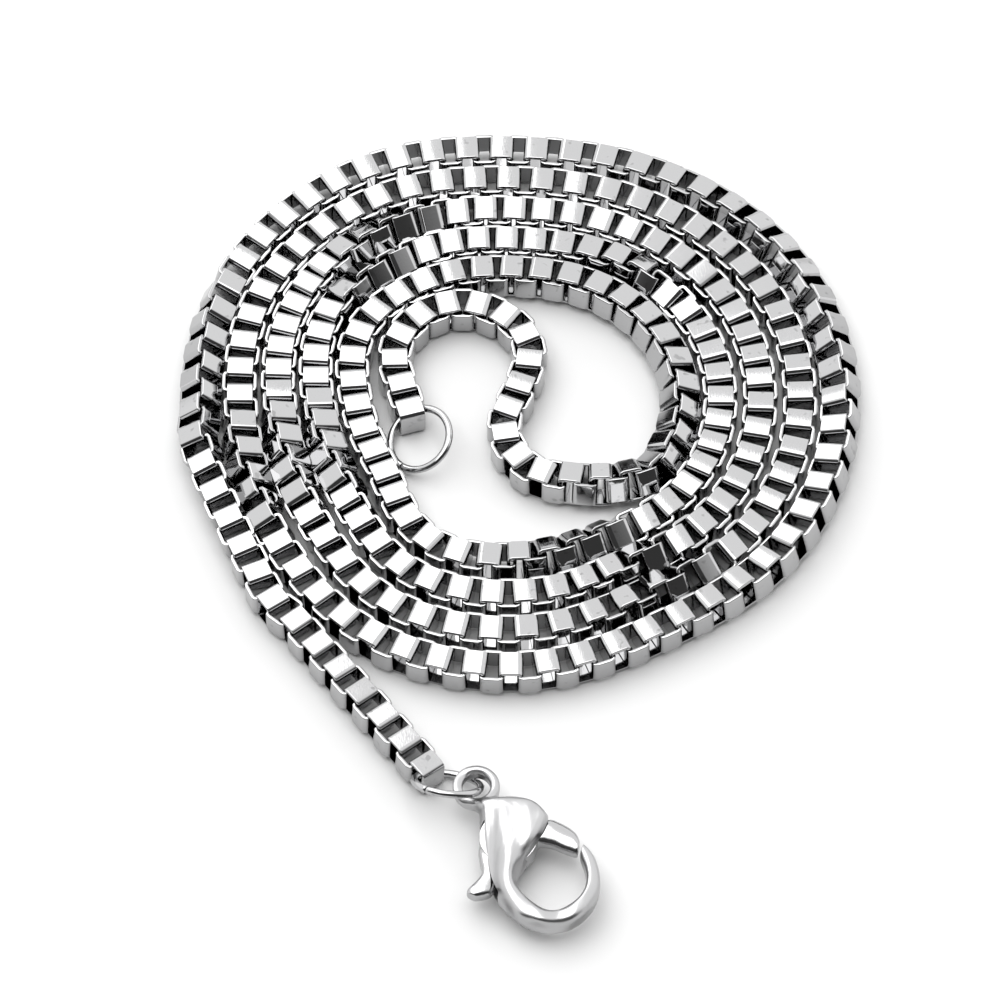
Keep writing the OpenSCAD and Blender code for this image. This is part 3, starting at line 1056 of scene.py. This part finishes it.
def photo_camera():
    """A long lens looking at the tables' origin from the photo's side."""
    target = Vector((*row_shift(), 0))
    elevation = math.radians(CAMERA_ELEVATION)
    distance = CAMERA_LENS / CAMERA_SENSOR * PHOTO_SIDE / PIXELS_PER_MM * MM
    camera = bpy.data.cameras.new("Camera")
    camera.sensor_width = CAMERA_SENSOR
    camera.lens = CAMERA_LENS
    camera.clip_start, camera.clip_end = CAMERA_CLIP
    eye = bpy.data.objects.new("Camera", camera)
    eye.location = target + distance * Vector((0, -math.cos(elevation), math.sin(elevation)))
    eye.rotation_euler = (target - eye.location).to_track_quat("-Z", "Y").to_euler()
    bpy.context.scene.collection.objects.link(eye)
    return eye


def pale_floor():
    """The plain surface that the necklace lies on."""
    corners = [(x * FLOOR_REACH, y * FLOOR_REACH, 0) for x, y in ((-1, -1), (1, -1), (1, 1), (-1, 1))]
    floor = mesh_object("floor", corners, [(0, 1, 2, 3)])
    material = bpy.data.materials.new("Floor")
    material.use_nodes = True
    matt = material.node_tree.nodes["Principled BSDF"].inputs
    matt["Base Color"].default_value = (*looks().floor, 1)
    matt["Roughness"].default_value = 0.9
    matt["Specular IOR Level"].default_value = 0.1
    floor.data.materials.append(material)
    return floor


class BOXCHAIN_OT_stage(bpy.types.Operator):
    """Set up the floor, the light and the camera"""

    bl_idname = "box_chain.stage"
    bl_label = "Set the stage"

    def execute(self, context):
        scene = context.scene
        scene.camera = photo_camera()
        floor = pale_floor()
        softbox()
        scene.world = room_world()
        scene.view_settings.view_transform = "Standard"
        scene.view_settings.look = "None"
        scene.view_settings.exposure = 0.0
        return {"FINISHED"}


STEPS = (BOXCHAIN_OT_links, BOXCHAIN_OT_rings, BOXCHAIN_OT_clasp, BOXCHAIN_OT_lever, BOXCHAIN_OT_stage)
SETTINGS = {
    "box_chain_sizes": ChainSizes,
    "jump_ring_sizes": RingSizes,
    "clasp_sizes": ClaspSizes,
    "steel_looks": SteelLooks,
}


class BOXCHAIN_PT_panel(bpy.types.Panel):
    """Lists the steps that make the necklace, and its settings"""

    bl_idname = "BOXCHAIN_PT_panel"
    bl_label = "Box chain"
    bl_space_type = "VIEW_3D"
    bl_region_type = "UI"
    bl_category = "Box chain"

    def draw(self, context):
        for step in STEPS:
            self.layout.operator(step.bl_idname)
        for group in SETTINGS:
            box = self.layout.box()
            held = getattr(context.scene, group)
            for name in held.__annotations__:
                box.prop(held, name)


CLASSES = (*SETTINGS.values(), *STEPS, BOXCHAIN_PT_panel)


def register():
    for kind in CLASSES:
        bpy.utils.register_class(kind)
    for name, kind in SETTINGS.items():
        setattr(bpy.types.Scene, name, bpy.props.PointerProperty(type=kind))


def unregister():
    for name in SETTINGS:
        delattr(bpy.types.Scene, name)
    for kind in reversed(CLASSES):
        bpy.utils.unregister_class(kind)


def main():
    register()
    for step in STEPS:
        area, name = step.bl_idname.split(".")
        getattr(getattr(bpy.ops, area), name)()


if __name__ == "__main__":
    main()
